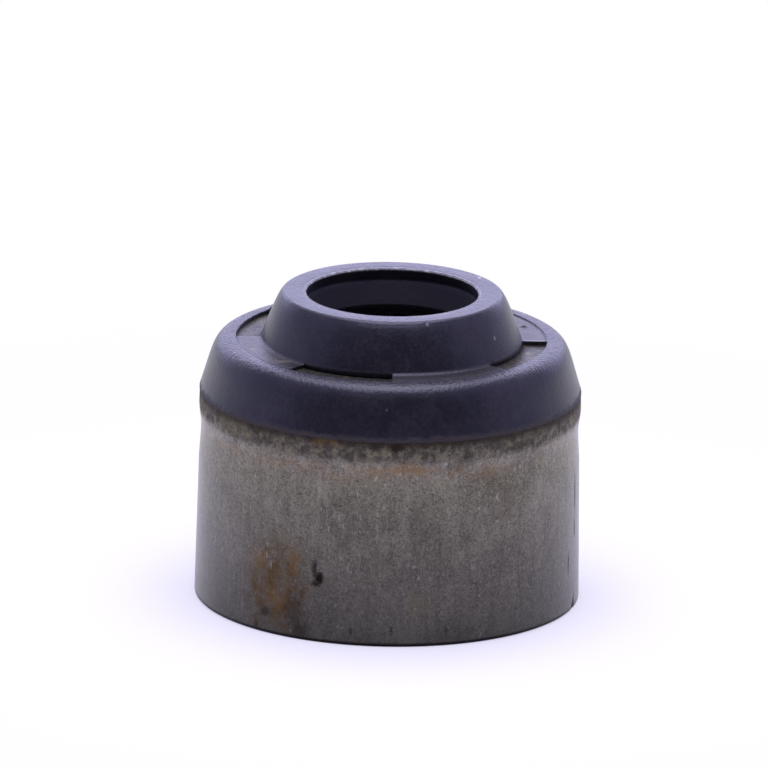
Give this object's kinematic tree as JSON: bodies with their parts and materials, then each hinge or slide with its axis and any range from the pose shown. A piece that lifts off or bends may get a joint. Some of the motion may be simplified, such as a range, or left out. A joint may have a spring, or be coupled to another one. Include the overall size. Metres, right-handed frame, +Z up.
{
  "type": "valve stem seal",
  "caption": "Round valve stem seal: pressed steel case with a bonded rubber body, a short neck with wiping lips, and a ribbed socket that grips a valve guide.",
  "frame": {"origin": "centre of the foot, on the seal's axis, at the level of the case's open end", "axes": "+Z up the axis from the open end to the mouth; +X to the right and -Y towards the viewer as the picture shows the seal"},
  "size_m": [0.013, 0.013, 0.0106],
  "materials": {
    "steel": "phosphated, dull, stained and lightly rusted",
    "rubber": "satin moulded rubber"
  },
  "bodies": {
    "root": {"metal_case": "steel", "rubber_body": "rubber"}
  },
  "joints": []
}
